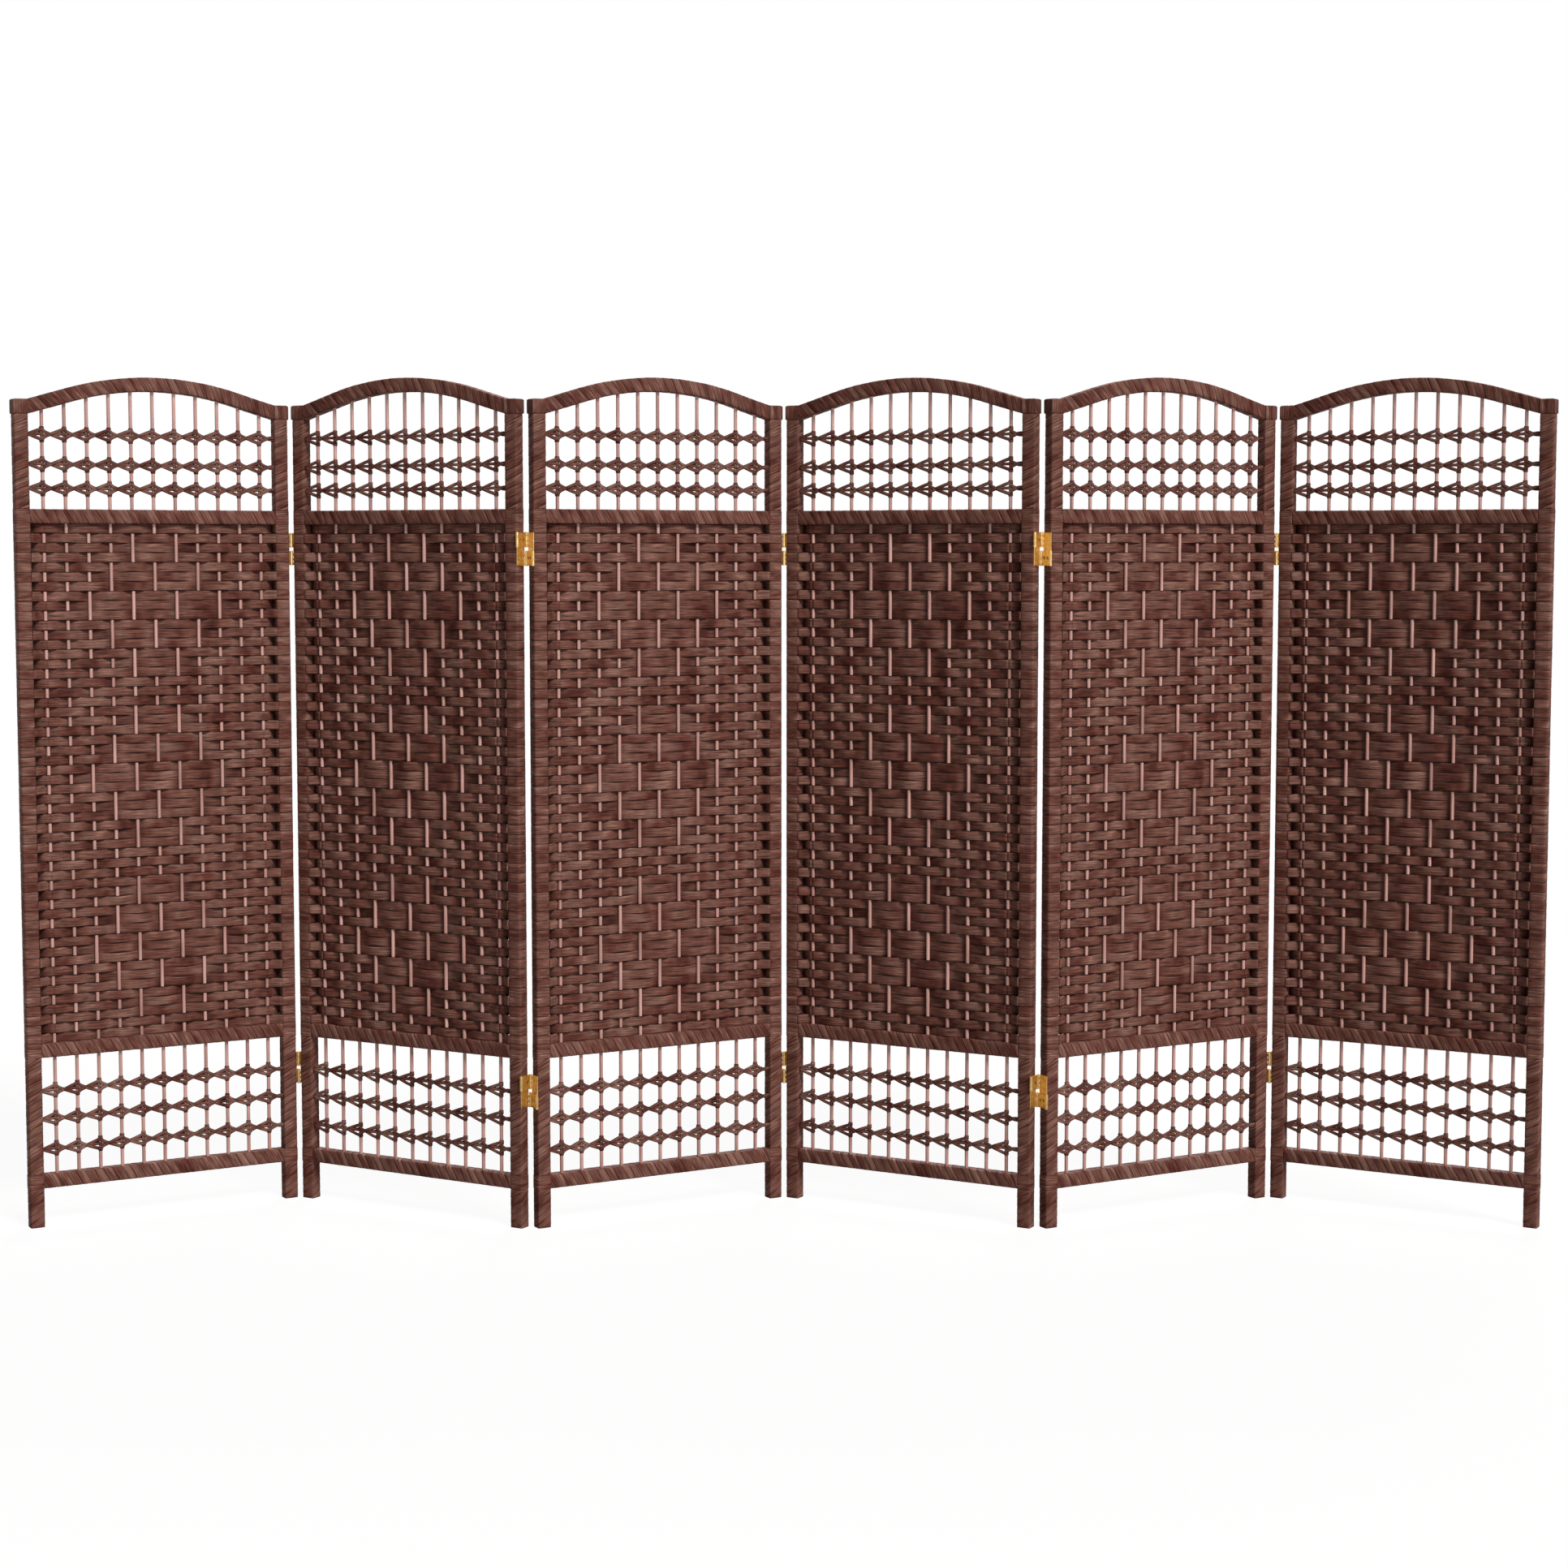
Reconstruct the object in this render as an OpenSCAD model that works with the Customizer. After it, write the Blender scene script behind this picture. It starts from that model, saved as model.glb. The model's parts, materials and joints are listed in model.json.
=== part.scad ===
// Six-panel folding screen of woven fiber on wooden frames, with double-action hinges.
// Millimetres. X runs along the screen, Y from front to back, Z up. It stands on Z = 0.

/* [Panel] */
// Width of one panel over its posts
panel_w = 545; // [470:1:600]
// Face width of posts, rails and arch
bar_w = 27; // [24:0.5:32]
// Depth of posts, rails and arch from front to back
bar_t = 24; // [21:0.5:30]
// Angle of each panel to the line of the screen
fold_angle = 30; // [15:1:50]

/* [Heights] */
// Floor to the underside of the bottom rail
leg_h = 76; // [40:1:120]
// Open height between bottom rail and lower rail
low_window_h = 230; // [205:1:300]
// Height of the woven field between lower rail and upper rail
weave_h = 1006; // [600:1:1200]
// Open height beside the posts, from upper rail to arch
top_window_h = 181; // [170:1:260]
// Rise of the arch from post to crown
arch_rise = 47; // [30:1:65]
// Slope of the arch's straight ends over its mean slope
arch_ease = 1.53; // [1.35:0.01:1.8]

/* [Joinery] */
// Length of the stub tenons on the rails
tenon_l = 15; // [8:0.5:18]
// Thickness of the stub tenons from front to back
tenon_t = 10; // [6:0.5:12]
// Height of the stub tenons
tenon_h = 14; // [8:0.5:16]
// How far the binding stands proud of a post beside a rail
collar_p = 0.8; // [0.4:0.1:1.2]
// How far the corner binding stands proud of a post's top
cap_p = 1.5; // [0.8:0.1:2.5]
// Chamfer on the outer corner of the corner binding
cap_chamfer = 2; // [1:0.5:4]

/* [Rods] */
// Number of upright rods in a panel
rod_count = 11; // [11:1:14]
// Rod diameter
rod_d = 7; // [5:0.5:8]
// Post face to the centre of the first rod
end_bay = 28.5; // [26:0.5:36]
// Depth that the rods are let into bottom rail and arch
rod_seat = 12; // [6:0.5:16]

/* [Weave] */
// Thickness of the woven field
weave_t = 12; // [10:0.5:18]

/* [Cord rows] */
// Heights of the three upper rows above the upper rail
upper_rows = [40, 86, 143];
// Heights of the three lower rows above the bottom rail
lower_rows = [49, 108.5, 164];
// Height of each diamond over its knots
diamond_h = 31; // [26:0.5:36]
// Height of the crossing between two rods
cross_h = 9; // [7:0.5:11]
// Width of one cord
cord_w = 5; // [3.5:0.5:6]
// Width of the knot round a rod
knot_w = 9.4; // [9:0.2:12]
// Height of the knot round a rod
knot_h = 5.3; // [4:0.1:7]
// Thickness of a cord row
row_t = 10; // [9.5:0.5:14]

/* [Hinges] */
// Height of a hinge
hinge_h = 63.5; // [55:0.5:80]
// Upper rail's underside down to the middle of the upper hinge
hinge_drop_upper = 49; // [40:1:200]
// Lower rail's underside down to the middle of the lower hinge
hinge_drop_lower = 65; // [42:1:120]
// Gap between two posts' edges with the screen held straight
hinge_gap = 7; // [6.5:0.25:12]
// Leaf thickness
leaf_t = 1.2; // [0.8:0.1:1.5]
// Clearance between a knuckle and a post's edge
knuckle_clear = 0.5; // [0.4:0.1:0.8]
// Clearance of the corner bindings from the middle of two closed faces
stack_clear = 1.5; // [0.5:0.1:2]
// Open height between upper and lower knuckles
hinge_mid = 7.5; // [4:0.5:12]
// Knuckles that each piece has on a pin
knuckle_count = 3; // [2:1:4]
// Pin diameter
pin_d = 2.6; // [2:0.1:3]
// Screw shank diameter
screw_d = 2.8; // [2.4:0.1:3.2]
// Screw head diameter
screw_head_d = 5.5; // [4.5:0.1:6]
// Screw length below the leaf
screw_l = 12; // [8:0.5:16]
// Distance between a leaf's two screws from front to back
screw_spread = 9.4; // [8:0.1:11]
// Height of the screws above and below the hinge's middle
screw_rise = 17; // [15:0.5:19]

/* [Hidden] */
$fn = 48;
panel_count = 6;
part_names = ["left_post", "right_post", "arch_rail", "cross_rails", "rods", "weave", "cord_rows",
    "hinge_leaves", "hinge_links", "hinge_screws"];
NODES = [for (n = [1 : panel_count]) for (part = part_names) str("panel_", n, "_", part)];
node = "all";

// Clearances
wood_fit = 0.1;       // tenons in mortises and rods in rails, all round
soft_fit = 0.3;       // weave and cords round the rods
pin_fit = 0.05;       // pins in knuckles and screws in holes, on the radius
knuckle_fit = 0.2;    // between knuckles along a pin
seat_end = 0.5;       // free end of a blind hole or mortise
access_clear = 0.5;   // screw heads under the holes of a link, on the radius
cut = 1;              // how far a cutter runs past what it cuts

// Arch outline: an arc with a straight tangent end on each side
inner_w = panel_w - 2 * bar_w;
arch_a = atan(arch_ease * arch_rise / (inner_w / 2));
arch_r = arch_rise * (arch_ease - 1) * cos(arch_a) / (1 - cos(arch_a));
arch_drop = bar_w / cos(arch_a);

// Heights of the pieces
bottom_rail_z = leg_h;
lower_rail_z = bottom_rail_z + bar_w + low_window_h;
weave_z = lower_rail_z + bar_w;
upper_rail_z = weave_z + weave_h;
post_h = upper_rail_z + bar_w + top_window_h + arch_drop;
arch_centre_z = post_h + arch_rise - arch_r;
rail_heights = [bottom_rail_z, lower_rail_z, upper_rail_z];
row_heights = concat([for (h = upper_rows) upper_rail_z + bar_w + h],
    [for (h = lower_rows) bottom_rail_z + bar_w + h]);
hinge_heights = [upper_rail_z - hinge_drop_upper, lower_rail_z - hinge_drop_lower];

// Rods
rod_pitch = (inner_w - 2 * end_bay) / (rod_count - 1);
function rod_x(i) = bar_w + end_bay + i * rod_pitch;

// Hinge: the pins run on the middle line of the gap, proud of the front and back faces
pin_u = hinge_gap / 2;
pin_proud = cap_p + stack_clear;
pin_front = -pin_proud;
pin_back = bar_t + pin_proud;
knuckle_r = pin_u - knuckle_clear;
half_h = (hinge_h - hinge_mid) / 2;
knuckle_h = half_h / (2 * knuckle_count);
pin_head_r = pin_d / 2 + 0.8;
pin_head_h = 0.8;

// Places of the panels: each fold line is the pin line that the two panels turn about
function heading(n) = n % 2 == 1 ? fold_angle : -fold_angle;
function turned(a, v) = [v[0] * cos(a) - v[1] * sin(a), v[0] * sin(a) + v[1] * cos(a)];
fold_step = turned(fold_angle, [panel_w + hinge_gap, pin_front - pin_back]);
function fold_line(n) = [(n - panel_count / 2) * fold_step[0], (n % 2 == 1 ? 1 : -1) * fold_step[1] / 2];
function right_pin(n) = [panel_w + pin_u, n % 2 == 1 ? pin_front : pin_back];
function panel_origin(n) = fold_line(n) - turned(heading(n), right_pin(n));

// Height of the arch's underside above the floor
function arch_under(x) =
    let (d = abs(x - panel_w / 2), r = arch_r - bar_w, edge = r * sin(arch_a))
    d < edge
        ? arch_centre_z + sqrt(r * r - d * d)
        : arch_centre_z + r * cos(arch_a) - (d - edge) * tan(arch_a);

module on_panel(n) {
    translate(panel_origin(n)) rotate([0, 0, heading(n)]) children();
}

// Stands a flat outline up and gives it depth from y0 to y1
module upright(y0, y1) {
    translate([0, y1, 0]) rotate([90, 0, 0]) linear_extrude(y1 - y0) children();
}

// Stub tenon or, with a clearance, its mortise, pointing along -X from x
module tenon(x, z, fit = 0, extra = 0) {
    translate([x - tenon_l - extra, (bar_t - tenon_t) / 2 - fit, z - tenon_h / 2 - fit])
        cube([tenon_l + extra + (fit > 0 ? cut : 0), tenon_t + 2 * fit, tenon_h + 2 * fit]);
}

module rod_holes(z0, z1, fit) {
    for (i = [0 : rod_count - 1])
        translate([rod_x(i), bar_t / 2, z0]) cylinder(r = rod_d / 2 + fit, h = z1 - z0);
}

// Corner binding over the top of a post
module cap() {
    upright(-cap_p, bar_t + cap_p)
        polygon([
            [bar_w, post_h - arch_drop],
            [bar_w, post_h],
            [cap_chamfer - cap_p, post_h],
            [-cap_p, post_h - cap_chamfer],
            [-cap_p, post_h - arch_drop],
        ]);
}

// A post with its outer edge at x = 0 and the panel's opening beyond x = bar_w
module post(hinged) {
    difference() {
        union() {
            cube([bar_w, bar_t, post_h]);
            cap();
            for (z = rail_heights)
                translate([-collar_p, -collar_p, z])
                    cube([bar_w + collar_p, bar_t + 2 * collar_p, bar_w]);
        }
        for (z = rail_heights) tenon(bar_w, z + bar_w / 2, wood_fit, seat_end);
        tenon(bar_w, post_h - arch_drop / 2, wood_fit, seat_end);
        if (hinged)
            for (z = hinge_heights) translate([0, 0, z]) screw_places() screw_hole();
    }
}

module left_post(n) {
    color("#6d473c") post(n > 1);
}

module right_post(n) {
    color("#6d473c") translate([panel_w, 0, 0]) mirror([1, 0, 0]) post(n < panel_count);
}

module arch_outline() {
    reach = 2 * arch_r;
    translate([panel_w / 2, arch_centre_z])
        intersection() {
            difference() {
                circle(r = arch_r, $fn = 720);
                circle(r = arch_r - bar_w, $fn = 720);
            }
            polygon([[0, 0], reach * [-sin(arch_a), cos(arch_a)], reach * [sin(arch_a), cos(arch_a)]]);
        }
    for (side = [-1, 1])
        translate([panel_w / 2, 0])
            polygon([
                [side * arch_r * sin(arch_a), arch_centre_z + arch_r * cos(arch_a)],
                [side * (arch_r - bar_w) * sin(arch_a), arch_centre_z + (arch_r - bar_w) * cos(arch_a)],
                [side * inner_w / 2, post_h - arch_drop],
                [side * inner_w / 2, post_h],
            ]);
}

module arch_rail() {
    color("#6f4a3f") difference() {
        union() {
            upright(0, bar_t) arch_outline();
            tenon(bar_w, post_h - arch_drop / 2);
            translate([panel_w, 0, 0]) mirror([1, 0, 0]) tenon(bar_w, post_h - arch_drop / 2);
        }
        for (i = [0 : rod_count - 1]) {
            top = arch_under(rod_x(i)) + rod_seat + seat_end;
            translate([rod_x(i), bar_t / 2, post_h - 2 * arch_drop])
                cylinder(r = rod_d / 2 + wood_fit, h = top - post_h + 2 * arch_drop);
        }
    }
}

module cross_rail(z, hole_z) {
    difference() {
        union() {
            translate([bar_w, 0, z]) cube([inner_w, bar_t, bar_w]);
            tenon(bar_w, z + bar_w / 2);
            translate([panel_w, 0, 0]) mirror([1, 0, 0]) tenon(bar_w, z + bar_w / 2);
        }
        rod_holes(hole_z, z + bar_w + cut, wood_fit);
    }
}

module cross_rails() {
    color("#6f4a3f") {
        cross_rail(bottom_rail_z, bottom_rail_z + bar_w - rod_seat - seat_end);
        cross_rail(lower_rail_z, lower_rail_z - cut);
        cross_rail(upper_rail_z, upper_rail_z - cut);
    }
}

module rods() {
    foot = bottom_rail_z + bar_w - rod_seat;
    color("#b88b80")
        for (i = [0 : rod_count - 1])
            translate([rod_x(i), bar_t / 2, foot])
                cylinder(d = rod_d, h = arch_under(rod_x(i)) + rod_seat - foot);
}

// Closed outer form of the woven strips, with the rods' channels
module weave() {
    color("#6b443a") difference() {
        translate([bar_w, (bar_t - weave_t) / 2, weave_z]) cube([inner_w, weave_t, weave_h]);
        rod_holes(weave_z - cut, weave_z + weave_h + cut, soft_fit);
    }
}

// Upper edge of a cord row, or lower edge with side = -1
shoulder = diamond_h / 2 - knot_h * 2 / 3;
function row_edge(side) = concat(
    [[bar_w, side * cross_h / 2]],
    [for (i = [0 : rod_count - 1]) each [
        [rod_x(i) - rod_pitch / 2, side * cross_h / 2],
        [rod_x(i) - knot_w / 2, side * shoulder],
        [rod_x(i) - knot_w / 2, side * diamond_h / 2],
        [rod_x(i) + knot_w / 2, side * diamond_h / 2],
        [rod_x(i) + knot_w / 2, side * shoulder],
    ]],
    [[rod_x(rod_count - 1) + rod_pitch / 2, side * cross_h / 2]],
    [[panel_w - bar_w, side * cross_h / 2]]);
function reversed(list) = [for (i = [len(list) - 1 : -1 : 0]) list[i]];

// Opening of a diamond to the left of its rod, or to the right with side = 1
module diamond_opening(i, side) {
    tip = rod_pitch / 2 - cord_w / 2;
    high = shoulder - cord_w * 1.1;
    translate([rod_x(i), 0])
        polygon([[side * tip, 0], [side * knot_w / 2, high], [side * knot_w / 2, -high]]);
}

module cord_row() {
    difference() {
        upright((bar_t - row_t) / 2, (bar_t + row_t) / 2)
            difference() {
                polygon(concat(row_edge(1), reversed(row_edge(-1))));
                for (i = [0 : rod_count - 1]) for (side = [-1, 1]) diamond_opening(i, side);
            }
        rod_holes(-diamond_h, diamond_h, soft_fit);
    }
}

module cord_rows() {
    color("#6a4237") for (z = row_heights) translate([0, 0, z]) cord_row();
}

// Hinge pieces are drawn on a post's edge: +X out of the edge, Y from front to back, Z from the middle.
// On a left edge they are turned half a turn about the upright.
module on_edges(n) {
    for (z = hinge_heights) {
        if (n > 1) translate([0, bar_t, z]) rotate([0, 0, 180]) children();
        if (n < panel_count) translate([panel_w, 0, z]) children();
    }
}

// The four screws of a leaf, along +X with their heads at x = leaf_t
module screw_places() {
    for (y = [-1, 1]) for (z = [-1, 1])
        translate([0, bar_t / 2 + y * screw_spread / 2, z * screw_rise]) children();
}

module screw(fit = 0) {
    rotate([0, 90, 0]) cylinder(r1 = screw_d / 2 + fit, r2 = screw_head_d / 2 + fit, h = leaf_t);
    translate([-screw_l, 0, 0]) rotate([0, 90, 0]) cylinder(r = screw_d / 2 + fit, h = screw_l);
}

// Drilled from the bottom of the leaf's seat; the post's wood lies along +X
module screw_hole() {
    translate([-cut, 0, 0]) rotate([0, 90, 0])
        cylinder(r = screw_d / 2 + pin_fit, h = screw_l + seat_end + cut);
}

// Knuckles number from, from + 2 and so on, counted up the half that starts at z0
module knuckles(y, z0, from) {
    inward = y < 0 ? 1 : -1;
    for (k = [from : 2 : 2 * knuckle_count - 1])
        translate([0, 0, z0 + k * knuckle_h + knuckle_fit / 2]) {
            translate([pin_u, y, 0]) cylinder(r = knuckle_r, h = knuckle_h - knuckle_fit);
            children();
        }
}

module pin_bore(y, z0) {
    translate([pin_u, y, z0 - cut]) cylinder(r = pin_d / 2 + pin_fit, h = half_h + 2 * cut);
}

upper_half_z = hinge_mid / 2;
lower_half_z = -hinge_mid / 2 - half_h;

// Leaf with knuckles on the front pin in its upper half and on the back pin in its lower half
module leaf() {
    web_w = pin_u - leaf_t / 2 - knuckle_clear;
    web_h = knuckle_h - knuckle_fit;
    difference() {
        union() {
            translate([0, 0, -hinge_h / 2]) cube([leaf_t, bar_t, hinge_h]);
            knuckles(pin_front, upper_half_z, 0)
                translate([0, pin_front, 0]) cube([web_w, pin_proud + leaf_t, web_h]);
            knuckles(pin_back, lower_half_z, 0)
                translate([0, bar_t - leaf_t, 0]) cube([web_w, pin_proud + leaf_t, web_h]);
        }
        pin_bore(pin_front, upper_half_z);
        pin_bore(pin_back, lower_half_z);
        screw_places() screw(pin_fit);
    }
}

// Centre link in the half that starts at z0, from the front pin to the back pin
module link(z0) {
    clear = knuckle_r + 2 * knuckle_fit;
    web_h = knuckle_h - knuckle_fit;
    difference() {
        union() {
            translate([pin_u - leaf_t / 2, pin_front + clear, z0])
                cube([leaf_t, pin_back - pin_front - 2 * clear, half_h]);
            knuckles(pin_front, z0, 1)
                translate([pin_u - leaf_t / 2, pin_front, 0]) cube([leaf_t, clear + leaf_t, web_h]);
            knuckles(pin_back, z0, 1)
                translate([pin_u - leaf_t / 2, pin_back - clear - leaf_t, 0])
                    cube([leaf_t, clear + leaf_t, web_h]);
        }
        pin_bore(pin_front, z0);
        pin_bore(pin_back, z0);
        screw_places() rotate([0, 90, 0]) cylinder(r = screw_head_d / 2 + access_clear, h = hinge_gap);
    }
}

module pin(y, z0) {
    translate([pin_u, y, z0]) {
        cylinder(d = pin_d, h = half_h);
        translate([0, 0, -pin_head_h]) cylinder(r = pin_head_r, h = pin_head_h);
        translate([0, 0, half_h]) cylinder(r = pin_head_r, h = pin_head_h);
    }
}

module hinge_leaves(n) {
    color("#b8893f") on_edges(n) leaf();
}

// Panels with an even number carry the upper links of their joints, the others the lower links
module hinge_links(n) {
    z0 = n % 2 == 0 ? upper_half_z : lower_half_z;
    color("#c19348") on_edges(n) {
        link(z0);
        pin(pin_front, z0);
        pin(pin_back, z0);
    }
}

module hinge_screws(n) {
    color("#d0a55c") on_edges(n) screw_places() screw();
}

function wanted(n, part) = node == "all" || node == str("panel_", n, "_", part);

for (n = [1 : panel_count]) {
    if (wanted(n, "left_post")) on_panel(n) left_post(n);
    if (wanted(n, "right_post")) on_panel(n) right_post(n);
    if (wanted(n, "arch_rail")) on_panel(n) arch_rail();
    if (wanted(n, "cross_rails")) on_panel(n) cross_rails();
    if (wanted(n, "rods")) on_panel(n) rods();
    if (wanted(n, "weave")) on_panel(n) weave();
    if (wanted(n, "cord_rows")) on_panel(n) cord_rows();
    if (wanted(n, "hinge_leaves")) on_panel(n) hinge_leaves(n);
    if (wanted(n, "hinge_links")) on_panel(n) hinge_links(n);
    if (wanted(n, "hinge_screws")) on_panel(n) hinge_screws(n);
}
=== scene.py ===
import json
import math
from functools import partial

import bmesh
import bpy
from mathutils import Matrix, Vector

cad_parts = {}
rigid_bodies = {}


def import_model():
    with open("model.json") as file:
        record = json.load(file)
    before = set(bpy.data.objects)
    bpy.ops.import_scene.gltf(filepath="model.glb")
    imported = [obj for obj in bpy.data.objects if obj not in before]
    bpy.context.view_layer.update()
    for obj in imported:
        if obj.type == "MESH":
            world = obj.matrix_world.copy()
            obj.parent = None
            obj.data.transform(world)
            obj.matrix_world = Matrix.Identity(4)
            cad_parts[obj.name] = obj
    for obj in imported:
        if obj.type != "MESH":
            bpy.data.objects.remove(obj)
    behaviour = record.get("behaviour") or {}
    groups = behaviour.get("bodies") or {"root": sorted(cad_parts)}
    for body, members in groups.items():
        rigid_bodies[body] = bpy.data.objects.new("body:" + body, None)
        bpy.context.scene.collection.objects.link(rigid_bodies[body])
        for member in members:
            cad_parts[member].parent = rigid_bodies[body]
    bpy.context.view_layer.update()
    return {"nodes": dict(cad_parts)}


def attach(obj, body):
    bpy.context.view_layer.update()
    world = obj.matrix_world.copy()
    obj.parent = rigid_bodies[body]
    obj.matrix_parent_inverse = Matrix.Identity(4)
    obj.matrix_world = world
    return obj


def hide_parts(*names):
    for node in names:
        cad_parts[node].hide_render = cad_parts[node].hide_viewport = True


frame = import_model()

# Folding screen of six wound and woven panels. Lengths are in millimetres in the dictionaries
# and in metres in the meshes. A panel is made once, lying along X from its left post, and its
# meshes are then copied to the six places.
mm = 0.001

panel = {
    "count": 6, "width": 545, "bar": 27, "depth": 24, "foldAngle": 30,
    "pinAcross": 3.5, "pinProud": 3,            # where the hinge pins stand, off the edge and off the face
    "legHeight": 76, "lowWindow": 230, "weaveHeight": 1006, "topWindow": 181,
    "archRise": 47, "archEase": 1.53,           # slope at its ends, against that of a line to its crown
    "rodCount": 11, "endBay": 28.5, "rodWidth": 7,
    "grainStep": 0.731,                         # slides the grain along from panel to panel, in metres
}
panel["inner"] = panel["width"] - 2 * panel["bar"]
panel["middle"] = panel["depth"] / 2
panel["archAngle"] = math.atan(panel["archEase"] * panel["archRise"] / (panel["inner"] / 2))
panel["archRadius"] = (panel["archRise"] * (panel["archEase"] - 1) * math.cos(panel["archAngle"])
                       / (1 - math.cos(panel["archAngle"])))
panel["archDrop"] = panel["bar"] / math.cos(panel["archAngle"])
panel["lowerRail"] = panel["legHeight"] + panel["bar"] + panel["lowWindow"]
panel["weaveFoot"] = panel["lowerRail"] + panel["bar"]
panel["upperRail"] = panel["weaveFoot"] + panel["weaveHeight"]
panel["top"] = panel["upperRail"] + panel["bar"] + panel["topWindow"] + panel["archDrop"]
panel["rodPitch"] = (panel["inner"] - 2 * panel["endBay"]) / (panel["rodCount"] - 1)


def rodPlace(number):
    return panel["bar"] + panel["endBay"] + (number - 1) * panel["rodPitch"]


def panelPlace(number):
    # carries a panel made at the origin to its place in the zigzag, where neighbours share a hinge pin
    side = 1 if number % 2 else -1
    turn = Matrix.Rotation(math.radians(side * panel["foldAngle"]), 4, "Z")
    lean = Matrix.Rotation(math.radians(panel["foldAngle"]), 4, "Z")
    across, back = panel["width"] + 2 * panel["pinAcross"], panel["depth"] + 2 * panel["pinProud"]
    step = lean @ Vector((across, -back, 0))
    fold = Vector(((number - panel["count"] / 2) * step.x, side * step.y / 2, 0))
    pinDepth = -panel["pinProud"] if side > 0 else panel["depth"] + panel["pinProud"]
    pin = Vector((panel["width"] + panel["pinAcross"], pinDepth, 0))
    return Matrix.Translation((fold - turn @ pin) * mm) @ turn


# Nodes

def addNode(tree, kind, links=None, **settings):
    # links gives sockets, by name or by place, a value, another socket or a node's first output
    node = tree.nodes.new(kind)
    for name, value in settings.items():
        setattr(node, name, value)
    for key, value in (links.items() if isinstance(links, dict) else enumerate(links or [])):
        named = [socket for socket in node.inputs if socket.name == key and socket.enabled]
        target = named[0] if named else node.inputs[key]
        if isinstance(value, bpy.types.Node):
            value = next(socket for socket in value.outputs if socket.enabled)
        if isinstance(value, bpy.types.NodeSocket):
            tree.links.new(value, target)
        else:
            target.default_value = value
    return node


def startTree(name, wanted):
    tree = bpy.data.node_groups.new(name, "GeometryNodeTree")
    for label, kind in wanted.items():
        tree.interface.new_socket(label, in_out="INPUT", socket_type="NodeSocket" + kind)
    tree.interface.new_socket("Mesh", in_out="OUTPUT", socket_type="NodeSocketGeometry")
    return tree, tree.nodes.new("NodeGroupInput").outputs, partial(addNode, tree)


def growMesh(source, tree, values):
    modifier = source.modifiers.new("grow", "NODES")
    modifier.node_group = tree
    for item in tree.interface.items_tree:
        if item.item_type == "SOCKET" and item.in_out == "INPUT" and item.name in values:
            modifier[item.identifier] = values[item.name]
    graph = bpy.context.evaluated_depsgraph_get()
    graph.update()
    mesh = bpy.data.meshes.new_from_object(source.evaluated_get(graph), preserve_all_data_layers=True,
                                           depsgraph=graph)
    source.modifiers.remove(modifier)
    bpy.data.objects.remove(source)
    mesh.materials.clear()
    mesh.materials.append(values["Finish"])
    mesh.polygons.foreach_set("material_index", [0] * len(mesh.polygons))
    return mesh


# Materials

def hexColour(code):
    parts = [int(code[i:i + 2], 16) / 255 for i in (1, 3, 5)]
    linear = [p / 12.92 if p < 0.04045 else ((p + 0.055) / 1.055) ** 2.4 for p in parts]
    return (*linear, 1)


def startMaterial(name):
    material = bpy.data.materials.new(name)
    material.use_nodes = True
    material.node_tree.nodes.clear()
    return material, partial(addNode, material.node_tree)


def setStops(node, stops):
    ramp = node.color_ramp
    while len(ramp.elements) < len(stops):
        ramp.elements.new(0.5)
    for element, (place, colour) in zip(ramp.elements, stops):
        element.position = place
        element.color = hexColour(colour) if isinstance(colour, str) else (colour, colour, colour, 1)
    return node


fiberLook = {
    "patchLength": 60, "patchWidth": 75,      # colour changes along a twisted strip
    "streakLength": 40, "streakWidth": 2.2,   # creases of the twist, drawn coarser than the real 0.8 mm
    "hairLength": 9, "hairWidth": 0.55,       # single fibres on the surface
    "hairShade": 0.14, "roughness": 0.7, "bumpHeight": 0.35, "bumpStrength": 0.55,
    # groove colour, and where on the edge value it starts and ends: dirt in the grooves and at strip edges,
    # with painted shade there
    "groove": "#1c0c09", "grooveDirtAndShadeStart": 0.4, "grooveDirtAndShadeEnd": 0.75, "grooveShare": 0.95,
}


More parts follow.
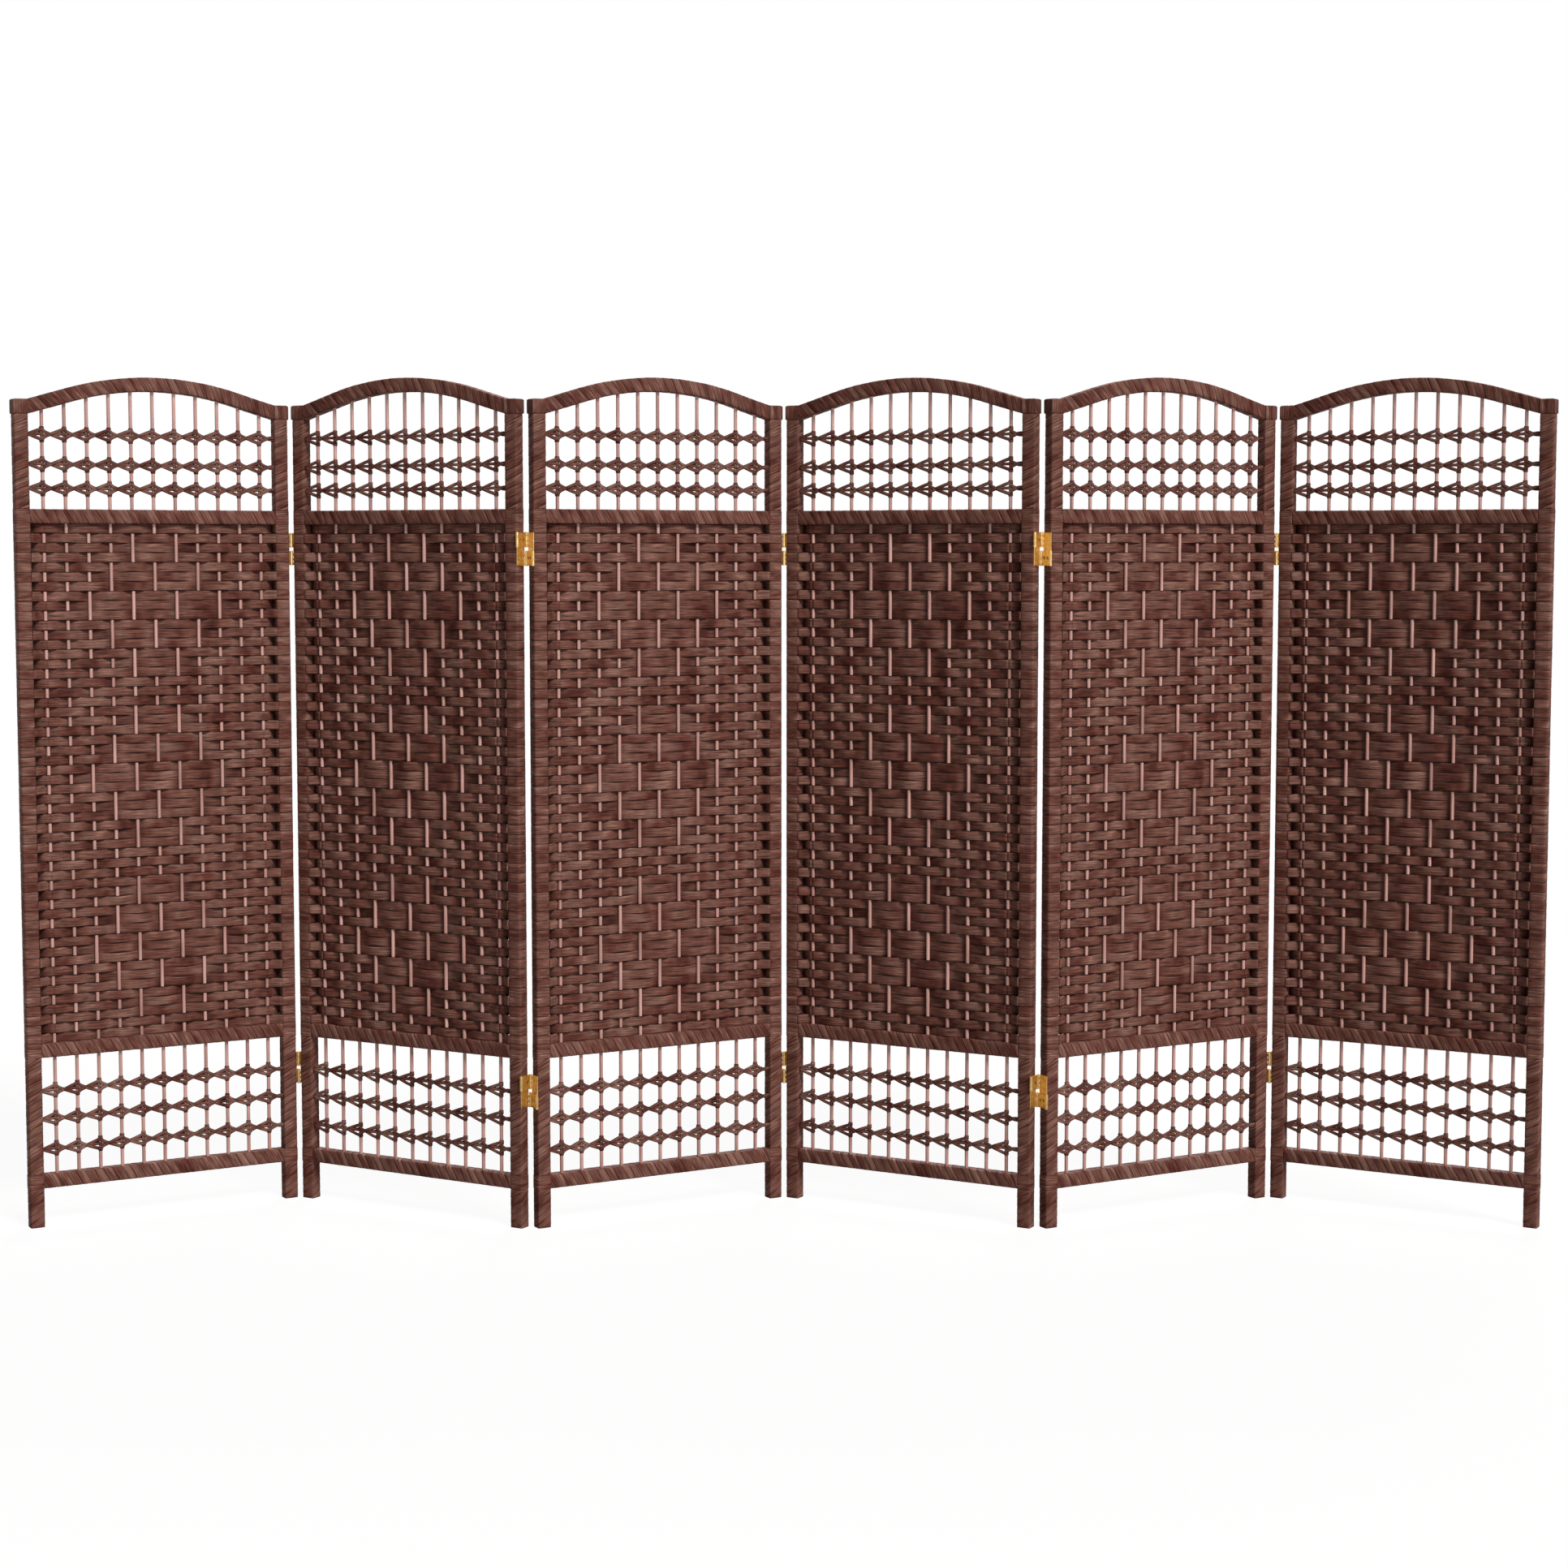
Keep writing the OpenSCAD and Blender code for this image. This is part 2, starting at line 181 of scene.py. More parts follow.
def makeFiber(name, tones, lights, look=fiberLook):
    # Twisted kraft-paper strip, dyed in the mass and wound or woven damp: a matt, creased skin with long
    # creases. Its streaky tone is painted darker in the creases as shade and lighter on the ridges as
    # highlight.
    # The dye changes slowly along the strip, and grooves and strip edges are pulled towards a dark groove
    # colour as dirt with painted shade.
    material, add = startMaterial(name)
    uv = add("ShaderNodeUVMap", uv_map="UVMap")

    def grain(length, width, detail, shift):
        scaled = add("ShaderNodeMapping", {"Vector": uv, "Location": (shift, shift * 0.7, 0),
                                           "Scale": (1 / (length * mm), 1 / (width * mm), 1)})
        return add("ShaderNodeTexNoise", {"Vector": scaled, "Scale": 1.0, "Detail": detail,
                                          "Roughness": 0.55, "Distortion": 0.1}, noise_dimensions="2D")

    patch = grain(look["patchLength"], look["patchWidth"], 2.0, 3.1)
    streak = grain(look["streakLength"], look["streakWidth"], 3.0, 7.7)
    hair = grain(look["hairLength"], look["hairWidth"], 2.0, 1.9)
    base = setStops(add("ShaderNodeValToRGB", [patch]), tones)
    # streak ramp multiplied into the dye: the strip's streaky tone, with painted shade in the creases at
    # its dark end and painted highlight on the ridges at its light end
    streakToneShadeAndHighlight = setStops(add("ShaderNodeValToRGB", [streak]), lights)
    mixed = add("ShaderNodeMix", {"Factor": 1.0, "A": base, "B": streakToneShadeAndHighlight}, data_type="RGBA",
                blend_type="MULTIPLY")
    tint = add("ShaderNodeMapRange", {"Value": hair, "From Min": 0.3, "From Max": 0.7,
                                      "To Min": 1 - look["hairShade"], "To Max": 1 + look["hairShade"]})
    haired = add("ShaderNodeVectorMath", {0: mixed, "Scale": tint}, operation="SCALE")
    # painted shade with dirt: the edge value pulls grooves and strip edges towards the groove colour, and
    # on the weave it also pulls in painted shade on recessed faces
    edge = add("ShaderNodeAttribute", attribute_name="edge")
    deep = add("ShaderNodeMapRange", {"Value": edge.outputs["Fac"],
                                      "From Min": look["grooveDirtAndShadeStart"], "From Max": look["grooveDirtAndShadeEnd"],
                                      "To Min": 0.0, "To Max": look["grooveShare"]})
    grooveDirtAndShadeMixed = add("ShaderNodeMix", {"Factor": deep, "A": haired, "B": hexColour(look["groove"])},
                data_type="RGBA")
    height = add("ShaderNodeMath", [streak, 0.7], operation="MULTIPLY")
    height = add("ShaderNodeMath", [hair, 0.3, height], operation="MULTIPLY_ADD")
    bump = add("ShaderNodeBump", {"Strength": look["bumpStrength"], "Distance": look["bumpHeight"] * mm,
                                  "Height": height})
    gloss = add("ShaderNodeMapRange", {"Value": streak, "From Min": 0.3, "From Max": 0.7,
                                       "To Min": look["roughness"] + 0.08,
                                       "To Max": look["roughness"] - 0.1})
    shader = add("ShaderNodeBsdfPrincipled", {"Base Color": grooveDirtAndShadeMixed, "Roughness": gloss,
                                              "Normal": bump, "IOR": 1.4, "Specular IOR Level": 0.22})
    add("ShaderNodeOutputMaterial", [shader])
    return material


fiberTones = [(0.27, "#4f261e"), (0.40, "#663c32"), (0.54, "#724b40"), (0.70, "#835d51")]
# streak ramps: values below 1 are painted crease shade, values above 1 are painted highlight on the ridges,
# over the strips' own streaky tone
fiberStreakToneShadeAndHighlight = [(0.28, 0.36), (0.42, 0.82), (0.58, 1.07), (0.77, 2.0)]
woundStreakToneShadeAndHighlight = [(0.27, 0.33), (0.41, 0.82), (0.58, 1.07), (0.77, 2.1)]
woundFiber = makeFiber("wound_paper_fiber", fiberTones, woundStreakToneShadeAndHighlight, {**fiberLook, "patchWidth": 24})
wovenFiber = makeFiber("woven_paper_fiber", fiberTones, fiberStreakToneShadeAndHighlight)
cordFiber = makeFiber("paper_fiber_cord", fiberTones, woundStreakToneShadeAndHighlight,
                      {**fiberLook, "streakLength": 16, "streakWidth": 1.9})


def makeRodWood(settings):
    # Pine dowel, turned round and stained pink-brown under a thin lacquer: fine upright grain, a soft sheen
    material, add = startMaterial("stained_pine_rod")
    place = add("ShaderNodeTexCoord")

    def stretched(width, length):
        scale = (1 / (width * mm), 1 / (width * mm), 1 / (length * mm))
        return add("ShaderNodeMapping", {"Vector": place.outputs["Object"], "Scale": scale})

    grain = stretched(settings["grainWidth"], settings["grainLength"])
    lines = add("ShaderNodeTexNoise", {"Vector": grain, "Scale": 1.0, "Detail": 3.0, "Roughness": 0.6})
    slow = stretched(settings["stainWidth"], settings["stainLength"])
    stain = add("ShaderNodeTexNoise", {"Vector": slow, "Scale": 1.0, "Detail": 2.0})
    base = setStops(add("ShaderNodeValToRGB", [stain]), [(0.3, settings["dark"]), (0.7, settings["light"])])
    fine = setStops(add("ShaderNodeValToRGB", [lines]), [(0.3, 0.8), (0.6, 1.08)])
    colour = add("ShaderNodeMix", {"Factor": 1.0, "A": base, "B": fine}, data_type="RGBA",
                 blend_type="MULTIPLY")
    bump = add("ShaderNodeBump", {"Strength": 0.3, "Distance": settings["bumpHeight"] * mm,
                                  "Height": lines})
    shader = add("ShaderNodeBsdfPrincipled", {"Base Color": colour, "Roughness": 0.36,
                                              "Normal": bump, "Coat Weight": 0.6, "Coat Roughness": 0.24})
    add("ShaderNodeOutputMaterial", [shader])
    return material


rodWood = makeRodWood({"grainWidth": 1.1, "grainLength": 40, "stainWidth": 33, "stainLength": 110,
                       "bumpHeight": 0.15, "dark": "#a8786e", "light": "#d6a499"})
brassGrain = {"brushWidth": 1.1, "brushLength": 9, "spotSize": 6.25, "bumpHeight": 0.05}


def makeBrass(name, settings):
    # Stamped sheet brass, barrel-polished and lacquered: warm yellow metal, faintly brushed and spotted
    material, add = startMaterial(name)
    place = add("ShaderNodeTexCoord")
    width, length = brassGrain["brushWidth"] * mm, brassGrain["brushLength"] * mm
    brushed = add("ShaderNodeMapping", {"Vector": place.outputs["Object"],
                                        "Scale": (1 / width, 1 / width, 1 / length)})
    lines = add("ShaderNodeTexNoise", {"Vector": brushed, "Scale": 1.0, "Detail": 2.0})
    spots = add("ShaderNodeTexNoise", {"Vector": place.outputs["Object"],
                                       "Scale": 1 / (brassGrain["spotSize"] * mm), "Detail": 3.0})
    tone = add("ShaderNodeValToRGB", [spots])
    setStops(tone, [(0.35, settings["dark"]), (0.6, settings["light"])])
    rough = add("ShaderNodeMapRange", {"Value": lines, "From Min": 0.3, "From Max": 0.7,
                                       "To Min": settings["roughness"] - 0.05,
                                       "To Max": settings["roughness"] + 0.1})
    bump = add("ShaderNodeBump", {"Strength": 0.15, "Distance": brassGrain["bumpHeight"] * mm,
                                  "Height": lines})
    shader = add("ShaderNodeBsdfPrincipled", {"Base Color": tone, "Metallic": 1.0, "Roughness": rough,
                                              "Normal": bump})
    add("ShaderNodeOutputMaterial", [shader])
    return material


leafBrass = makeBrass("polished_brass_sheet", {"dark": "#d3ab66", "light": "#ecca88", "roughness": 0.36})
screwBrass = makeBrass("turned_brass_screw", {"dark": "#dcbd7c", "light": "#f4e0a8", "roughness": 0.28})
print("materials made")


# Finishing of a grown mesh

endSlant = 0.3                                  # slants the grain on the flat ends


def closeShell(mesh):
    # removes stray points, closes the open ends with flat faces and turns all faces outwards
    work = bmesh.new()
    work.from_mesh(mesh)
    stray = [vertex for vertex in work.verts if not vertex.link_faces]
    bmesh.ops.delete(work, geom=stray, context="VERTS")
    grown = set(work.faces)
    rims = [edge for edge in work.edges if edge.is_boundary]
    if rims:
        bmesh.ops.holes_fill(work, edges=rims, sides=0)
    layer = work.loops.layers.uv.get("UVMap")
    for face in work.faces:
        face.smooth = face in grown
        if not face.smooth:
            for loop in face.loops:
                spot = loop.vert.co
                loop[layer].uv = (spot.x + spot.z * endSlant, spot.y + spot.z)
    bmesh.ops.recalc_face_normals(work, faces=work.faces)
    work.to_mesh(mesh)
    work.free()
    return mesh


def joinMeshes(name, meshes):
    work = bmesh.new()
    for mesh in meshes:
        work.from_mesh(mesh)
    joined = bpy.data.meshes.new(name)
    work.to_mesh(joined)
    work.free()
    for material in meshes[0].materials:
        joined.materials.append(material)
    for mesh in meshes:
        bpy.data.meshes.remove(mesh)
    return joined


def placeOnPanels(mesh, label, replaced):
    # one copy for each panel, with the grain slid along so that no two look alike
    for number in range(1, panel["count"] + 1):
        copy = mesh.copy()
        copy.name = f"panel_{number}_{label}"
        copy.transform(panelPlace(number))
        uvs = copy.uv_layers["UVMap"].uv
        flat = [0.0] * (2 * len(uvs))
        uvs.foreach_get("vector", flat)
        flat[0::2] = [value + panel["grainStep"] * number for value in flat[0::2]]
        uvs.foreach_set("vector", flat)
        piece = bpy.data.objects.new(f"panel_{number}_{label}", copy)
        bpy.context.scene.collection.objects.link(piece)
        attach(piece, f"panel_{number}")
        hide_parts(*(f"panel_{number}_{node}" for node in replaced))
    print(label, "polygons in one:", len(mesh.polygons))
    bpy.data.meshes.remove(mesh)


# Placing of ready forms: woven bays and cord motifs

def buildPlacingTree():
    tree, given, add = startTree("placeForms", {
        "Places": "Geometry", "Forms": "Collection", "Uneven": "Float", "Uneven length": "Float",
        "Grain from place": "Bool", "Join": "Float", "Finish": "Material"})
    forms = add("GeometryNodeCollectionInfo", {"Collection": given["Forms"], "Separate Children": True,
                                               "Reset Children": True})
    kind = add("GeometryNodeInputNamedAttribute", {"Name": "kind"}, data_type="INT")
    turn = add("GeometryNodeInputNamedAttribute", {"Name": "turn"}, data_type="FLOAT_VECTOR")
    shift = add("GeometryNodeInputNamedAttribute", {"Name": "shift"}, data_type="FLOAT_VECTOR")
    lay = add("GeometryNodeInputNamedAttribute", {"Name": "lay"}, data_type="FLOAT_VECTOR")
    placed = add("GeometryNodeInstanceOnPoints", {"Points": given["Places"], "Instance": forms,
                                                  "Pick Instance": True, "Instance Index": kind,
                                                  "Rotation": turn})
    real = add("GeometryNodeRealizeInstances", {"Geometry": placed})
    spot = add("GeometryNodeInputPosition")
    split = add("ShaderNodeSeparateXYZ", [spot])
    flat = add("ShaderNodeCombineXYZ", [split.outputs["X"], split.outputs["Z"], 0.0])
    chosen = add("GeometryNodeSwitch", {"Switch": given["Grain from place"], "False": lay, "True": flat},
                 input_type="VECTOR")
    moved = add("ShaderNodeVectorMath", [chosen, shift], operation="ADD")
    mapped = add("GeometryNodeStoreNamedAttribute", {"Geometry": real, "Name": "UVMap", "Value": moved},
                 data_type="FLOAT2", domain="CORNER")
    waves = add("ShaderNodeMath", [1.0, given["Uneven length"]], operation="DIVIDE")
    noise = add("ShaderNodeTexNoise", {"Vector": spot, "Scale": waves, "Detail": 1.0},
                noise_dimensions="3D")
    centred = add("ShaderNodeVectorMath", [noise.outputs["Color"], (0.5, 0.5, 0.5)], operation="SUBTRACT")
    offset = add("ShaderNodeVectorMath", {0: centred, "Scale": given["Uneven"]}, operation="SCALE")
    uneven = add("GeometryNodeSetPosition", {"Geometry": mapped, "Offset": offset})
    joined = add("GeometryNodeMergeByDistance", {"Geometry": uneven, "Distance": given["Join"]})
    finished = add("GeometryNodeSetMaterial", {"Geometry": joined, "Material": given["Finish"]})
    add("NodeGroupOutput", [finished])
    return tree


placingTree = buildPlacingTree()


def makeForm(name, rings, edges, lays):
    # tube through rings of points; edges and lays give each point's edge value and its place in the grain
    count = len(rings[0])
    points = [Vector(point) * mm for ring in rings for point in ring]
    faces = []
    for i in range(len(rings) - 1):
        for j in range(count):
            k = (j + 1) % count
            faces.append((i * count + j, i * count + k, (i + 1) * count + k, (i + 1) * count + j))
    mesh = bpy.data.meshes.new(name)
    mesh.from_pydata(points, [], faces)
    edge = mesh.attributes.new("edge", "FLOAT", "POINT")
    edge.data.foreach_set("value", [value for ring in edges for value in ring])
    lay = mesh.attributes.new("lay", "FLOAT_VECTOR", "POINT")
    lay.data.foreach_set("vector", [value * mm for ring in lays for u, v in ring for value in (u, v, 0)])
    return mesh


def makeFormObjects(meshes, name):
    forms = bpy.data.collections.new(name)
    bpy.context.scene.collection.children.link(forms)
    for number, mesh in enumerate(meshes):
        forms.objects.link(bpy.data.objects.new(f"{name}{number}", mesh))
    return forms


def placeForms(name, meshes, places, values):
    # places holds rows of point, form number, turn and grain shift
    forms = makeFormObjects(meshes, name)
    points = bpy.data.meshes.new(name + "Places")
    points.from_pydata([Vector(p[0]) * mm for p in places], [], [])
    points.attributes.new("kind", "INT", "POINT").data.foreach_set("value", [p[1] for p in places])
    for label, column in (("turn", 2), ("shift", 3)):
        flat = [value for p in places for value in p[column]]
        points.attributes.new(label, "FLOAT_VECTOR", "POINT").data.foreach_set("vector", flat)
    source = bpy.data.objects.new(name + "Places", points)
    bpy.context.scene.collection.objects.link(source)
    mesh = growMesh(source, placingTree, {"Forms": forms, **values})
    for item in list(forms.objects):
        bpy.data.objects.remove(item)
    bpy.data.collections.remove(forms)
    return closeShell(mesh)


# Woven field

weave = {
    "rows": 54, "frontDepth": 7.8, "backDepth": 16.2,   # where a strip's middle passes a rod
    "thickness": 2.6, "frontHalf": 9.5, "backHalf": 11.1,    # half heights before and behind a rod
    "postFrontHalf": 10.1, "postBackHalf": 12.4,        # half heights at the posts
    "postProud": 0.3, "postBend": 1.4,                  # how a strip leaves the post that it goes round
    "sag": 0.7, "plump": 0.1, "uneven": 0.5, "unevenLength": 70, "join": 0.03, "slopeStep": 0.001,
    "recessShadeBase": 0.38, "paintedRecessShade": 0.2,              # painted shade: darkens the face that lies deep among its neighbours, where shade falls
    "rowShift": (0.377, 0.1),                           # slides the grain from row to row, in metres
}
# Diamonds as counted on the real weave, where reach is how many rods they take in on each side of the
# middle one at their widest step
diamond = {"firstRow": 2, "rows": 18, "stepRows": 3, "widestStep": 2, "reach": 3}

# Section of a flattened strip: across, through, and how dark its edge is painted, as dirt with painted
# shade where strips meet
stripSection = [(-1, 0, 1), (-0.79, -0.4, 0.42), (-0.4, -0.52, 0), (0.4, -0.52, 0), (0.79, -0.4, 0.42),
                (1, 0, 1), (0.79, 0.4, 0.42), (0.4, 0.52, 0), (-0.4, 0.52, 0), (-0.79, 0.4, 0.42)]


def stripRing(x, depth, slope, half):
    # the section at x, turned to run along its path
    length = math.hypot(1, slope)
    ring = []
    for across, through, _ in stripSection:
        t = through * weave["thickness"]
        ring.append((x - slope / length * t, depth + t / length, across * half))
    return ring


def withPaintedRecessShade(ring):
    # edge values of a ring, raised as painted shade on the face that lies deep among its neighbours
    reach = (weave["backDepth"] - weave["frontDepth"]) / 2
    values = []
    for point, (_, through, edge) in zip(ring, stripSection):
        deep = (point[1] - panel["middle"]) / reach * (1 if through < 0 else -1)
        values.append(max(edge, weave["recessShadeBase"] + weave["paintedRecessShade"] * min(deep, 1)))
    return values


def makeBay(name, width, pathDepth, half, steps):
    # one strip from a rod to the next
    rings = []
    for step in range(steps + 1):
        s = step / steps
        ahead, behind = min(s + weave["slopeStep"], 1), max(s - weave["slopeStep"], 0)
        slope = (pathDepth(ahead) - pathDepth(behind)) / ((ahead - behind) * width)
        rings.append(stripRing((s - 0.5) * width, pathDepth(s), slope, half(s)))
    lays = [[(x, z) for x, _, z in ring] for ring in rings]
    return makeForm(name, rings, [withPaintedRecessShade(ring) for ring in rings], lays)


def eased(start, end, s):
    return start + (end - start) * (1 - math.cos(math.pi * s)) / 2


def humped(base, rise, s):
    return base + rise * math.sin(math.pi * s) ** 2


def fromPost(start, end, s):
    return end - (end - start) * (1 - s) ** weave["postBend"]


def weaveForms():
    front, back = weave["frontDepth"], weave["backDepth"]
    frontHalf, backHalf = weave["frontHalf"], weave["backHalf"]
    pitch, end, proud = panel["rodPitch"], panel["endBay"], weave["postProud"]
    return [
        makeBay("frontFront", pitch, partial(humped, front, weave["sag"]),
                partial(humped, frontHalf, weave["plump"]), 4),
        makeBay("frontBack", pitch, partial(eased, front, back), partial(eased, frontHalf, backHalf), 8),
        makeBay("backBack", pitch, partial(humped, back, -weave["sag"]), partial(humped, backHalf, 0), 4),
        makeBay("postFront", end, partial(fromPost, -proud, back),
                partial(eased, weave["postFrontHalf"], backHalf), 6),
        makeBay("postBack", end, partial(fromPost, panel["depth"] + proud, front),
                partial(eased, weave["postBackHalf"], frontHalf), 6),
    ]


def rodShows(row, rod):
    # whether the rod lies in front of the strip: plain weave, turned over inside stacked diamonds
    shows = (row + rod) % 2 == 1
    step = (row - diamond["firstRow"]) % diamond["rows"]
    reach = diamond["reach"] - abs(step // diamond["stepRows"] - diamond["widestStep"])
    fromMiddle = abs(rod - (panel["rodCount"] + 1) // 2)
    turnedRow = row >= diamond["firstRow"] and step % diamond["stepRows"] == 1
    if turnedRow and reach >= 1 and fromMiddle <= reach:
        shows = not shows
    return shows


def makeWovenField():
    pitch = panel["weaveHeight"] / weave["rows"]
    slide, rise = weave["rowShift"]
    inward = panel["bar"] + panel["endBay"] / 2
    frontFront, frontBack, backBack, postFront, postBack = range(5)      # numbers of the forms
    kinds = {(False, False): frontFront, (False, True): frontBack,
             (True, False): frontBack, (True, True): backBack}      # the third is turned round
    places = []
    for row in range(1, weave["rows"] + 1):
        z = panel["upperRail"] - (row - 0.5) * pitch
        shift = (row * slide, row * rise - z * mm, 0)
        behind = [rodShows(row, rod) for rod in range(1, panel["rodCount"] + 1)]
        for rod in range(1, panel["rodCount"]):
            pair = (behind[rod - 1], behind[rod])
            turn = (0, math.pi if pair == (True, False) else 0, 0)
            places.append(((rodPlace(rod) + panel["rodPitch"] / 2, 0, z), kinds[pair], turn, shift))
        kind = postFront if behind[0] else postBack
        places.append(((inward, 0, z), kind, (0, 0, 0), shift))
        kind = postFront if behind[-1] else postBack
        places.append(((panel["width"] - inward, 0, z), kind, (0, math.pi, 0), shift))
    return placeForms("bay", weaveForms(), places, {
        "Uneven": weave["uneven"] * mm, "Uneven length": weave["unevenLength"] * mm,
        "Grain from place": True, "Join": weave["join"] * mm, "Finish": wovenFiber})


placeOnPanels(makeWovenField(), "woven_field", ["weave"])


# Bars wound with strip: posts, rails, arch and the bindings at their joints

# starts is how many pitches a strip climbs in one turn: 0 makes plain rings
plainWinding = {"starts": 3, "lift": 0.0, "relief": 0.35, "overlap": 0.8, "uneven": 0.9}
windings = {
    "corner": 2.4, "grooveShare": 0.085, "unevenLength": 42, "join": 0.02,
    "fade": 1.5,                                  # relief fades out over this length at a bar's ends
    "leg": {**plainWinding, "pitch": 16.3},
    "topWindow": {**plainWinding, "pitch": 18, "starts": 2},
    "rail": {**plainWinding, "pitch": 18},
    "collar": {"pitch": 9, "starts": 0, "lift": 0.7, "relief": 0.15, "overlap": 0.5, "uneven": 0.6},
    "band": {"pitch": panel["weaveHeight"] / weave["rows"], "starts": 0, "lift": 0.3, "relief": 0.28,
             "overlap": 0.3, "uneven": 0.6},
    "cap": {"pitch": 9.5, "starts": 0, "lift": 0.0, "relief": 0.2, "overlap": 0.5, "uneven": 0.5},
    "capProud": 1.5, "capRound": 3.5, "capEnd": 1, "capEdge": 0.5,       # binding over a post's top
    "archSteps": 36, "archTuck": 4,
    # shifts of the grain from one wound piece to the next, in metres
    "postShift": 0.43, "railShift": 0.51, "firstRailShift": 0.6, "archShift": 2.9, "capShift": 0.01,
    "threadShift": 0.1, "shiftSlope": 1.7,
}


def buildWindingTree():
    tree, given, add = startTree("windStrip", {
        "Path": "Geometry", "Section": "Object", "Girth": "Float", "Around": "Int", "Pitch": "Float",
        "Starts": "Int", "Lift": "Float", "Relief": "Float", "Overlap": "Float", "Uneven": "Float",
        "Grain shift": "Vector", "Join": "Float", "Finish": "Material"})
    lines = 4                                     # points across a strip: groove, edge, middle, edge
    rim = windings["grooveShare"]
    between = (1 - 2 * rim) / (lines - 2)

    # a flat grid, whose lines along X become the strips' lines and whose rows along Y go round the section
    path = add("GeometryNodeMeshToCurve", {"Mesh": given["Path"]})
    length = add("GeometryNodeCurveLength", [path])
    section = add("GeometryNodeObjectInfo", {"Object": given["Section"]}).outputs["Geometry"]
    turns = add("ShaderNodeMath", [length, given["Pitch"]], operation="DIVIDE")
    turns = add("ShaderNodeMath", [turns], operation="CEIL")
    turns = add("ShaderNodeMath", [turns, given["Starts"]], operation="ADD")
    last = add("ShaderNodeMath", [turns, float(lines)], operation="MULTIPLY")
    along = add("ShaderNodeMath", [last, 1.0], operation="ADD")
    around = add("ShaderNodeMath", [given["Around"], 1.0], operation="ADD")
    grid = add("GeometryNodeMeshGrid", {"Size X": 1.0, "Size Y": 1.0, "Vertices X": along,
                                        "Vertices Y": around})
    split = add("ShaderNodeSeparateXYZ", [add("GeometryNodeInputPosition")])
    i = add("ShaderNodeMath", [split.outputs["X"], 0.5])
    i = add("ShaderNodeMath", [add("ShaderNodeMath", [i, last], operation="MULTIPLY")], operation="ROUND")
    j = add("ShaderNodeMath", [split.outputs["Y"], 0.5])
    j = add("ShaderNodeMath", [j, given["Around"]], operation="MULTIPLY")
    j = add("ShaderNodeMath", [j], operation="ROUND")

    def fromSection(label, kind):
        value = add("GeometryNodeInputNamedAttribute", {"Name": label}, data_type=kind)
        return add("GeometryNodeSampleIndex", {"Geometry": section, "Value": value, "Index": j},
                   data_type=kind)

    share = fromSection("share", "FLOAT")         # how far round the section, from 0 to 1
    out = fromSection("out", "FLOAT_VECTOR")
    place = add("GeometryNodeSampleIndex", {"Geometry": section, "Value": add("GeometryNodeInputPosition"),
                                            "Index": j}, data_type="FLOAT_VECTOR")

    # the strip that a line belongs to, and how far across that strip it lies
    strip = add("ShaderNodeMath", [i, float(lines)], operation="DIVIDE")
    strip = add("ShaderNodeMath", [strip], operation="FLOOR")
    k = add("ShaderNodeMath", [i, float(lines)], operation="MODULO")
    groove = add("ShaderNodeMath", [k, 0.5], operation="LESS_THAN")
    ridge = add("ShaderNodeMath", [1.0, groove], operation="SUBTRACT")
    across = add("ShaderNodeMath", [k, 1.0], operation="SUBTRACT")
    across = add("ShaderNodeMath", [across, between, rim], operation="MULTIPLY_ADD")
    across = add("ShaderNodeMath", [across, ridge], operation="MULTIPLY")
    passed = add("ShaderNodeMath", [strip, across], operation="ADD")

    # how far along the path each point lies: the lines slant as they go round, and stop at the ends
    lead = add("ShaderNodeMath", [given["Starts"], share], operation="MULTIPLY")
    travel = add("ShaderNodeMath", [passed, lead], operation="SUBTRACT")
    travel = add("ShaderNodeMath", [travel, given["Pitch"]], operation="MULTIPLY")
    travel = add("ShaderNodeMath", [travel, 0.0], operation="MAXIMUM")
    travel = add("ShaderNodeMath", [travel, length], operation="MINIMUM")
    rest = add("ShaderNodeMath", [length, travel], operation="SUBTRACT")
    near = add("ShaderNodeMath", [travel, rest], operation="MINIMUM")
    fade = add("ShaderNodeMapRange", {"Value": near, "From Min": 0.0, "From Max": windings["fade"] * mm})

    # a strip stands highest at the edge that overlaps its neighbour, and the groove lies lowest
    slant = add("ShaderNodeMath", [across, given["Overlap"]], operation="MULTIPLY")
    relief = add("ShaderNodeMath", [1.0, slant], operation="SUBTRACT")
    relief = add("ShaderNodeMath", [relief, ridge], operation="MULTIPLY")
    relief = add("ShaderNodeMath", [relief, groove], operation="SUBTRACT")
    relief = add("ShaderNodeMath", [relief, given["Relief"]], operation="MULTIPLY")
    relief = add("ShaderNodeMath", [relief, fade], operation="MULTIPLY")
    height = add("ShaderNodeMath", [given["Lift"], relief], operation="ADD")

